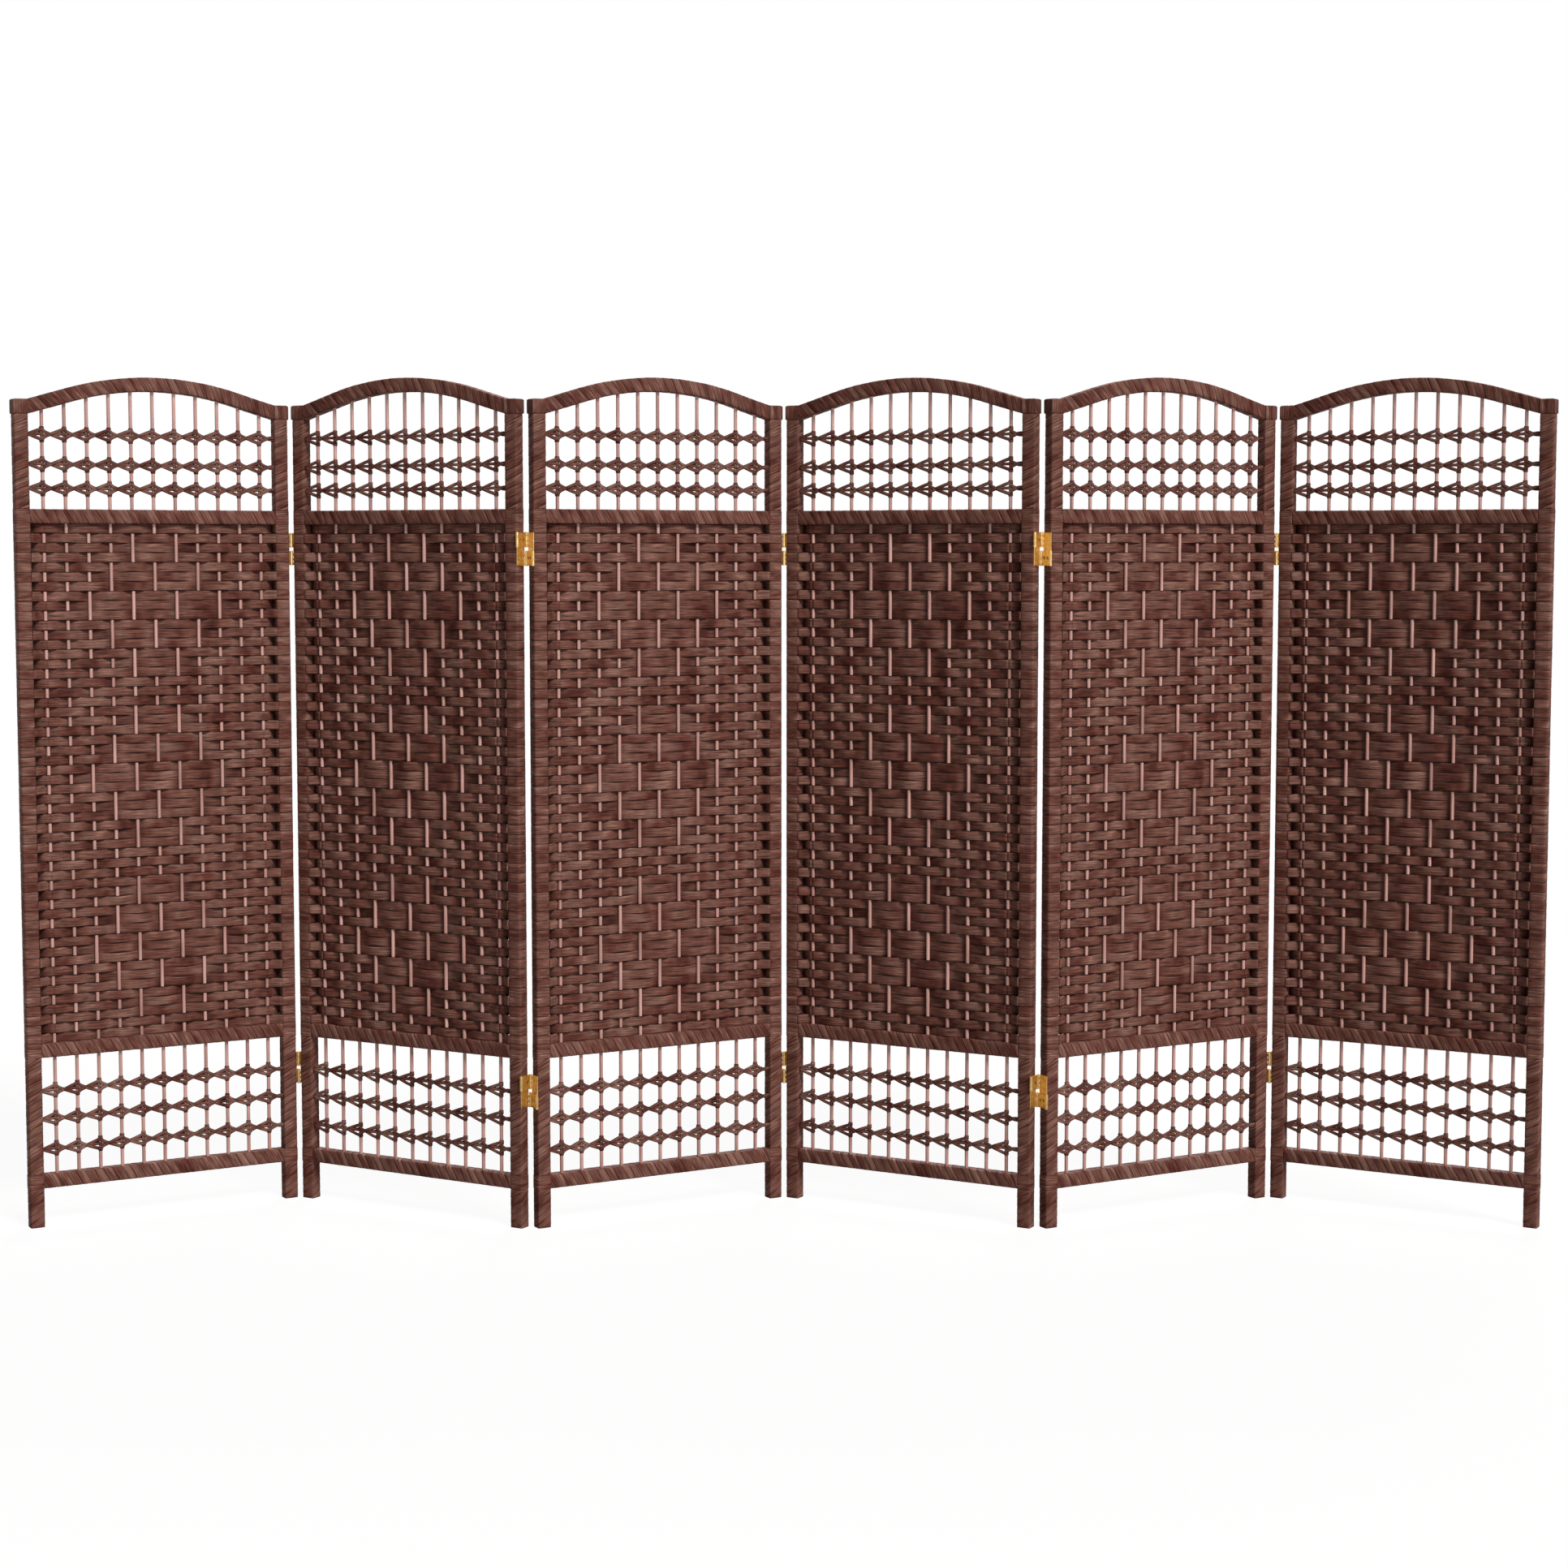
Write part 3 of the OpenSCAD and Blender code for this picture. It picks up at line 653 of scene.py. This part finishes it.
    # the point itself, out from the path, with a little unevenness
    sampled = add("GeometryNodeSampleCurve", {"Curves": path, "Length": travel}, mode="LENGTH")
    upward = add("ShaderNodeVectorMath", [sampled.outputs["Tangent"], (0.0, 1.0, 0.0)],
                 operation="CROSS_PRODUCT")
    raised = add("ShaderNodeVectorMath", {0: out, "Scale": height}, operation="SCALE")
    raised = add("ShaderNodeSeparateXYZ", [add("ShaderNodeVectorMath", [place, raised], operation="ADD")])
    rise = add("ShaderNodeVectorMath", {0: upward, "Scale": raised.outputs["X"]}, operation="SCALE")
    depth = add("ShaderNodeCombineXYZ", [0.0, raised.outputs["Y"], 0.0])
    spot = add("ShaderNodeVectorMath", [sampled.outputs["Position"], rise], operation="ADD")
    spot = add("ShaderNodeVectorMath", [spot, depth], operation="ADD")
    waves = 1 / (windings["unevenLength"] * mm)
    noise = add("ShaderNodeTexNoise", {"Vector": spot, "Scale": waves, "Detail": 1.0},
                noise_dimensions="3D")
    noise = add("ShaderNodeVectorMath", [noise.outputs["Color"], (0.5, 0.5, 0.5)], operation="SUBTRACT")
    sway = add("ShaderNodeMath", [given["Uneven"], fade], operation="MULTIPLY")
    noise = add("ShaderNodeVectorMath", {0: noise, "Scale": sway}, operation="SCALE")
    spot = add("ShaderNodeVectorMath", [spot, noise], operation="ADD")

    # the strip that a face belongs to, and how far along and across that strip each corner lies
    faceLine = add("GeometryNodeFieldOnDomain", {"Value": i}, domain="FACE")
    faceStrip = add("ShaderNodeMath", [faceLine, float(lines)], operation="DIVIDE")
    faceStrip = add("ShaderNodeMath", [faceStrip], operation="FLOOR")
    threads = add("ShaderNodeMath", [given["Starts"], 1.0], operation="MAXIMUM")
    turnNumber = add("ShaderNodeMath", [faceStrip, threads], operation="DIVIDE")
    turnNumber = add("ShaderNodeMath", [turnNumber], operation="FLOOR")
    thread = add("ShaderNodeMath", [faceStrip, threads], operation="MODULO")
    u = add("ShaderNodeMath", [turnNumber, share])
    u = add("ShaderNodeMath", [u, given["Girth"]], operation="MULTIPLY")
    v = add("ShaderNodeMath", [passed, faceStrip], operation="SUBTRACT")
    v = add("ShaderNodeMath", [v, given["Pitch"]], operation="MULTIPLY")
    v = add("ShaderNodeMath", [thread, windings["threadShift"], v], operation="MULTIPLY_ADD")
    uv = add("ShaderNodeVectorMath", [add("ShaderNodeCombineXYZ", [u, v, 0.0]), given["Grain shift"]])
    mapped = add("GeometryNodeStoreNamedAttribute", {"Geometry": grid, "Name": "UVMap", "Value": uv},
                 data_type="FLOAT2", domain="CORNER")
    # the groove lines are stored as edge, which the material pulls to the groove colour: dirt with painted
    # shade in the grooves
    marked = add("GeometryNodeStoreNamedAttribute", {"Geometry": mapped, "Name": "edge", "Value": groove},
                 data_type="FLOAT", domain="POINT")
    bent = add("GeometryNodeSetPosition", {"Geometry": marked, "Position": spot})
    joined = add("GeometryNodeMergeByDistance", {"Geometry": bent, "Distance": given["Join"]})
    real = add("GeometryNodeRealizeInstances", {"Geometry": joined})
    finished = add("GeometryNodeSetMaterial", {"Geometry": real, "Material": given["Finish"]})
    add("NodeGroupOutput", [finished])
    return tree


windingTree = buildWindingTree()


def barSection(high, deep, corner):
    # points round a bar with their outward directions, from its lower back edge over the front
    corners = [((-1, 1), (0, 1), (-1, 0)), ((-1, -1), (-1, 0), (0, -1)),
               ((1, -1), (0, -1), (1, 0)), ((1, 1), (1, 0), (0, 1))]
    ring = []
    for at, before, after in corners:
        centre = Vector((at[0] * (high / 2 - corner), at[1] * (deep / 2 - corner)))
        for way in (Vector(before), Vector(at).normalized(), Vector(after)):
            ring.append((centre + way * corner, way))
    ring = ring[1:] + ring[:1]
    outline = []
    for number, (spot, way) in enumerate(ring):
        nextSpot, nextWay = ring[(number + 1) % len(ring)]
        outline.append((spot, way))
        if way == nextWay:                         # a flat side gets two more points
            outline += [(spot.lerp(nextSpot, part), way) for part in (1 / 3, 2 / 3)]
    outline.append(outline[0])
    travelled = [0]
    for (here, _), (there, _) in zip(outline, outline[1:]):
        travelled.append(travelled[-1] + (there - here).length)
    girth = travelled[-1]
    mesh = bpy.data.meshes.new("section")
    mesh.from_pydata([(spot.x * mm, spot.y * mm, 0) for spot, _ in outline], [], [])
    share = mesh.attributes.new("share", "FLOAT", "POINT")
    share.data.foreach_set("value", [length / girth for length in travelled])
    out = mesh.attributes.new("out", "FLOAT_VECTOR", "POINT")
    out.data.foreach_set("vector", [value for _, way in outline for value in (way.x, way.y, 0)])
    section = bpy.data.objects.new("section", mesh)
    bpy.context.scene.collection.objects.link(section)
    return section, girth


def windBar(path, section, zone, shift=0.0):
    # zone tells how the strip is wound: its pitch and starts, its lift off the bar, its relief and overlap
    mesh = bpy.data.meshes.new("path")
    mesh.from_pydata([Vector(p) * mm for p in path], [(i, i + 1) for i in range(len(path) - 1)], [])
    source = bpy.data.objects.new("path", mesh)
    bpy.context.scene.collection.objects.link(source)
    return closeShell(growMesh(source, windingTree, {
        "Section": section[0], "Girth": section[1] * mm, "Around": len(section[0].data.vertices) - 1,
        "Pitch": zone["pitch"] * mm, "Starts": zone["starts"], "Lift": zone["lift"] * mm,
        "Relief": zone["relief"] * mm, "Overlap": zone["overlap"], "Uneven": zone["uneven"] * mm,
        "Grain shift": (shift, shift * windings["shiftSlope"], 0.0), "Join": windings["join"] * mm,
        "Finish": woundFiber}))


def upright(x, low, high):
    return [(x, panel["middle"], low), (x, panel["middle"], high)]


def level(z, left, right):
    return [(left, panel["middle"], z), (right, panel["middle"], z)]


def makeCap(section, outer, inner, z):
    # binding over the top of a post; its strip runs round the outer top corner
    path = level(z, min(outer, inner), max(outer, inner))
    mesh = windBar(path, section, windings["cap"], outer * windings["capShift"])
    radius = windings["capRound"] * mm
    side = 1 if inner > outer else -1
    top = panel["top"] * mm
    edge = mesh.attributes["edge"].data
    for vertex in mesh.vertices:
        inwards = side * (vertex.co.x - outer * mm)
        if inwards < windings["capEnd"] * mm:
            edge[vertex.index].value = windings["capEdge"]      # the end is strip too, not a groove, so it takes less of the groove dirt and painted shade
        dx, dz = radius - inwards, radius - (top - vertex.co.z)
        if dx > 0 and dz > 0:
            scale = max(dx, dz) / math.hypot(dx, dz)
            vertex.co.x = outer * mm + side * (radius - dx * scale)
            vertex.co.z = top - (radius - dz * scale)
    return mesh


def makePosts():
    bar = panel["bar"]
    section = barSection(bar, panel["depth"], windings["corner"])
    proud = windings["capProud"]
    capSection = barSection(panel["archDrop"], panel["depth"] + 2 * proud, windings["corner"])
    stops = [0, panel["legHeight"], panel["legHeight"] + bar, panel["lowerRail"], panel["weaveFoot"],
             panel["upperRail"], panel["upperRail"] + bar, panel["top"] - panel["archDrop"]]
    kinds = ["leg", "collar", "leg", "collar", "band", "collar", "topWindow"]
    zones = []
    for number, kind in enumerate(kinds):
        path = upright(bar / 2, stops[number], stops[number + 1])
        zones.append(windBar(path, section, windings[kind], number * windings["postShift"]))
    left = joinMeshes("leftPost", zones)
    right = left.copy()
    right.transform(Matrix.Translation(((panel["width"] - bar) * mm, 0, 0)))
    capZ = panel["top"] - panel["archDrop"] / 2
    leftCap = makeCap(capSection, -proud, bar, capZ)
    rightCap = makeCap(capSection, panel["width"] + proud, panel["width"] - bar, capZ)
    whole = joinMeshes("left", [left, leftCap])
    placeOnPanels(whole, "wound_left_post", ["left_post"])
    whole = joinMeshes("right", [right, rightCap])
    placeOnPanels(whole, "wound_right_post", ["right_post"])
    for item in (section[0], capSection[0]):
        bpy.data.objects.remove(item)


def archPath():
    middle, radius = panel["width"] / 2, panel["archRadius"] - panel["bar"] / 2
    centre = panel["top"] + panel["archRise"] - panel["archRadius"]
    angle = panel["archAngle"]
    foot = Vector((-radius * math.sin(angle), centre + radius * math.cos(angle)))
    run = panel["inner"] / 2 + windings["archTuck"] + foot.x    # the ends run on inside the bindings
    points = [foot - Vector((run, run * math.tan(angle)))]
    for step in range(windings["archSteps"] + 1):
        a = angle * (2 * step / windings["archSteps"] - 1)
        points.append(Vector((radius * math.sin(a), centre + radius * math.cos(a))))
    points.append(Vector((-points[0].x, points[0].y)))
    return [(middle + p.x, panel["middle"], p.y) for p in points]


def makeRails():
    bar, winding = panel["bar"], windings["rail"]
    section = barSection(bar, panel["depth"], windings["corner"])
    rails = []
    for number, z in enumerate((panel["legHeight"], panel["lowerRail"], panel["upperRail"])):
        path = level(z + bar / 2, bar, panel["width"] - bar)
        shift = windings["firstRailShift"] + number * windings["railShift"]
        rails.append(windBar(path, section, winding, shift))
    placeOnPanels(joinMeshes("rails", rails), "wound_rails", ["cross_rails"])
    arch = windBar(archPath(), section, winding, windings["archShift"])
    placeOnPanels(arch, "wound_arch", ["arch_rail"])
    bpy.data.objects.remove(section[0])


makePosts()
makeRails()


# Cord rows, in front of the rods: two outer cords go up and down in turn, lie over a wound knot at each
# rod and cross nearer to the rod on their left, a third runs through the middle and a fourth passes
# behind each rod into its upper knot. A point is measured across from the rod, back from the panel's
# front and up from the row's middle. Where it has two values, its depth is nearDepth or farDepth. The
# short ends are measured from the outermost crossings.

cords = {
    "upperRows": [40, 86, 143], "lowerRows": [49, 108.5, 164],
    "outerWidth": 6.6, "innerWidth": 5.8, "thickness": 1.8,
    "knotRadius": 4.75, "knotHeight": 9, "knotTop": 15.5,
    "knotSides": 9, "knotFit": 0.15, "knotRound": 0.7, "knotShade": 0.2, "knotGrain": 3.3,
    "nearDepth": 5.1, "farDepth": 6.7, "crossing": 14.9,     # how far right of a rod the cords cross
    "uneven": 0.5, "unevenLength": 30, "join": 0.02,
    "outerLeft": [(-31.5, -1.3), (-28.5, 0), (-22, 2.6)],
    "outerMiddle": [(-14, 6.3, 5.7), (-7, 6.6, 8.2), (-2.6, 6.9, 9.7), (0.6, 6.9, 8.6), (3.2, 6.8, 5.6),
                    (6.6, 6.6, 3.6), (10.8, 6.2, 1.7)],
    "outerRight": [(14.9, 0), (18.4, -1.3)],
    "front": [(-31, 6.4, 0.2), (-28.5, 6.4, 0.2), (-20, 6.5, 0.2), (-12, 6.7, 0.3), (-6, 6.9, 0.4),
              (-1.5, 6.9, 0.3), (3, 6.9, -1.7), (6.5, 6.8, -2), (14.9, 6.3, 0.2), (18, 6.3, 0.2)],
    "behind": [(-31, 7.4, 0.4), (-28.5, 7.4, 0.4), (-18, 7.5, 0.4), (-12, 8.2, 0.4), (-8, 11.6, 0.7),
               (-4.8, 16, 1.6), (-2.6, 17.4, 4.6), (-0.8, 17.6, 8), (0.2, 17.2, 12)],
    "leftEnd": [(3.5, -1.3), (0, 0), (-2, 0.6), (-4.5, 0.8), (-6, 0.8)],
    "rightEnd": [(-3.5, -1.3), (0, 0), (4, 1.1), (9, 1.6), (16, 1.7), (19, 1.7)],
    # slides the grain from row to row and from rod to rod, in metres
    "rowShift": (0.377, 0.1), "rodShift": (0.053, 0.011), "leftShift": (0.2, 0.1), "rightShift": (0.3, 0.1),
}

# Section of a flat cord, across and through
cordSection = [(-1, 0), (-0.55, -0.5), (0.55, -0.5), (1, 0), (0.55, 0.5), (-0.55, 0.5)]


def ribbon(path, width):
    # tube of a flat cord; the first and last points only give the directions at its ends
    rings, lays, travelled = [], [], 0
    for before, at, after in zip(path, path[1:], path[2:]):
        before, at, after = Vector(before), Vector(at), Vector(after)
        along = (after - before).normalized()
        sideways = along.cross(Vector((0, 1, 0))).normalized() * width / 2
        deep = sideways.normalized().cross(along) * cords["thickness"]
        travelled += (at - before).length
        rings.append([at + sideways * across + deep * through for across, through in cordSection])
        lays.append([(travelled, across * width / 2) for across, _ in cordSection])
    # the cord's edges get edge 1 and so the groove colour: dirt with painted shade between the cords
    edges = [1 if abs(across) == 1 else 0 for across, _ in cordSection]
    return rings, [edges] * len(rings), lays


def knot(z):
    # band of cord round a rod
    inner, outer = panel["rodWidth"] / 2 + cords["knotFit"], cords["knotRadius"]
    high, shade = cords["knotHeight"] / 2, cords["knotShade"]
    # the rims against the rod get edge 1 and so the groove colour: dirt with painted shade where the band
    # meets the rod; knotShade is the outer faces' edge value
    section = [(inner, -high, 1), (outer, -high * cords["knotRound"], shade),
               (outer, high * cords["knotRound"], shade), (inner, high, 1)]
    sides = cords["knotSides"]
    rings, lays = [], []
    for step in range(sides + 1):
        angle = math.pi * 2 * (step % sides) / sides
        turn = Vector((math.cos(angle), math.sin(angle), 0))
        rings.append([turn * radius + Vector((0, panel["middle"], z + up)) for radius, up, _ in section])
        lays.append([(step * cords["knotGrain"], up) for _, up, _ in section])
    return rings, [[edge for _, _, edge in section]] * len(rings), lays


def outerCord(side, depth):
    # from crossing to crossing over or under the middle of the rod
    path = [(x, depth, z) for x, z in cords["outerLeft"]]
    path += cords["outerMiddle"]
    path += [(x, depth, z) for x, z in cords["outerRight"]]
    return [(x, y, z * side) for x, y, z in path]


def joinTubes(name, tubes):
    return joinMeshes(name, [makeForm(name, *tube) for tube in tubes])


def cordForms():
    wide, thin = cords["outerWidth"], cords["innerWidth"]
    near, far = cords["nearDepth"], cords["farDepth"]
    knotZ = cords["knotTop"] - cords["knotHeight"] / 2
    shared = [ribbon(cords["front"], thin), ribbon(cords["behind"], thin), knot(knotZ), knot(-knotZ)]
    forms = []
    for side in (-1, 1):                           # the near cord passes below odd rods and above even ones
        outer = [ribbon(outerCord(side, near), wide), ribbon(outerCord(-side, far), wide)]
        forms.append(joinTubes("motif", outer + shared))
    for path in (cords["leftEnd"], cords["rightEnd"]):      # from an outermost crossing into a post
        upper = ribbon([(x, near, z) for x, z in path], wide)
        lower = ribbon([(x, far, -z) for x, z in path], wide)
        forms.append(joinTubes("end", [upper, lower]))
    return forms


def makeCordRows():
    heights = ([panel["upperRail"] + panel["bar"] + height for height in cords["upperRows"]]
               + [panel["legHeight"] + panel["bar"] + height for height in cords["lowerRows"]])
    last = panel["rodCount"]
    leftEnd, rightEnd = 2, 3                       # numbers of the forms after the two motifs
    straight = (0, 0, 0)

    def grain(row, rowStep, rod=0):
        slide, rise = cords["rodShift"]
        return (row * rowStep[0] + rod * slide, row * rowStep[1] + rod * rise, 0)

    places = []
    for row, z in enumerate(heights):
        for rod in range(1, last + 1):
            shift = grain(row, cords["rowShift"], rod)
            places.append(((rodPlace(rod), 0, z), (rod + 1) % 2, straight, shift))
        for rod, kind, rowStep in ((0, leftEnd, cords["leftShift"]), (last, rightEnd, cords["rightShift"])):
            crossing = rodPlace(rod) + cords["crossing"]
            places.append(((crossing, 0, z), kind, straight, grain(row, rowStep)))
    return placeForms("cord", cordForms(), places, {
        "Uneven": cords["uneven"] * mm, "Uneven length": cords["unevenLength"] * mm,
        "Grain from place": False, "Join": cords["join"] * mm, "Finish": cordFiber})


placeOnPanels(makeCordRows(), "cord_work", ["cord_rows"])


# Rods and hinges keep their CAD shapes

def paintNodes(ending, material):
    for name, node in frame["nodes"].items():
        if name.endswith(ending):
            for slot in node.material_slots:
                slot.material = material


paintNodes("_rods", rodWood)
paintNodes("_hinge_leaves", leafBrass)
paintNodes("_hinge_links", leafBrass)
paintNodes("_hinge_screws", screwBrass)


# Stage

def buildFloor(settings):
    mesh = bpy.data.meshes.new("floor")
    corners = [(x * settings["floorReach"], y * settings["floorReach"], 0)
               for x, y in ((-1, -1), (1, -1), (1, 1), (-1, 1))]
    mesh.from_pydata(corners, [], [(0, 1, 2, 3)])
    floor = bpy.data.objects.new("floor", mesh)
    bpy.context.scene.collection.objects.link(floor)
    # Matt painted studio floor: near white, and lifted for the camera so that only the shadow shows on it
    material, add = startMaterial("matt_studio_floor")
    rays = add("ShaderNodeLightPath")
    paint = add("ShaderNodeBsdfDiffuse", {"Color": hexColour(settings["floorPaint"])})
    white = add("ShaderNodeEmission", {"Color": (1, 1, 1, 1), "Strength": settings["floorWhite"]})
    share = add("ShaderNodeMath", [rays.outputs["Is Camera Ray"], settings["floorLift"]],
                operation="MULTIPLY")
    mixed = add("ShaderNodeMixShader", [share, paint, white])
    add("ShaderNodeOutputMaterial", [mixed])
    mesh.materials.append(material)


def buildWorld(settings):
    # soft white fill; the camera, mirrors and glass see a white studio
    world = bpy.data.worlds.new("studio")
    bpy.context.scene.world = world
    world.use_nodes = True
    world.node_tree.nodes.clear()
    add = partial(addNode, world.node_tree)
    rays = add("ShaderNodeLightPath")
    seen = add("ShaderNodeMath", [rays.outputs["Is Camera Ray"], rays.outputs["Is Glossy Ray"]],
               operation="MAXIMUM")
    seen = add("ShaderNodeMath", [seen, rays.outputs["Is Transmission Ray"]], operation="MAXIMUM")
    fill = add("ShaderNodeBackground", {"Color": (1, 1, 1, 1), "Strength": settings["fill"]})
    white = add("ShaderNodeBackground", {"Color": (1, 1, 1, 1), "Strength": 1.0})
    add("ShaderNodeOutputWorld", [add("ShaderNodeMixShader", [seen, fill, white])])


def buildLamps(settings):
    # across is the way round from the front, up the height, and softness the lamp's size, all in degrees
    for label, lamp in settings["lamps"].items():
        data = bpy.data.lights.new(label, "SUN")
        data.angle = math.radians(lamp["softness"])
        data.energy = lamp["power"]
        light = bpy.data.objects.new(label, data)
        bpy.context.scene.collection.objects.link(light)
        across, up = math.radians(lamp["across"]), math.radians(lamp["up"])
        away = Vector((math.sin(across) * math.cos(up), -math.cos(across) * math.cos(up), math.sin(up)))
        light.location = Vector((0, 0, settings["lampAim"])) + away * settings["lampDistance"]
        light.rotation_euler = away.to_track_quat("Z", "Y").to_euler()


stage = {
    "floorReach": 14, "floorPaint": "#c4c2c0", "floorLift": 0.85, "floorWhite": 1.09, "fill": 0.08,
    "lampDistance": 6, "lampAim": 0.9,
    "lamps": {
        "keyLamp": {"across": 37, "up": 42, "softness": 18, "power": 2.8},
        "stripLamp": {"across": 30, "up": 3, "softness": 16, "power": 0.32},   # the light line on the rods
        "backLamp": {"across": 166, "up": 38, "softness": 24, "power": 1.5},
    },
}
buildFloor(stage)
buildWorld(stage)
buildLamps(stage)


def buildCamera(settings):
    data = bpy.data.cameras.new("photoCamera")
    data.lens = settings["lens"]
    data.sensor_width = settings["sensor"]
    camera = bpy.data.objects.new("photoCamera", data)
    camera.location = settings["place"]
    camera.rotation_euler = (math.radians(90 - settings["tiltDown"]), 0, 0)
    bpy.context.scene.collection.objects.link(camera)
    bpy.context.scene.camera = camera


buildCamera({"lens": 65.2, "sensor": 36, "place": (0, -5.579, 1.31), "tiltDown": 4.656})
bpy.context.scene.view_settings.view_transform = "Standard"
print("stage and camera set")
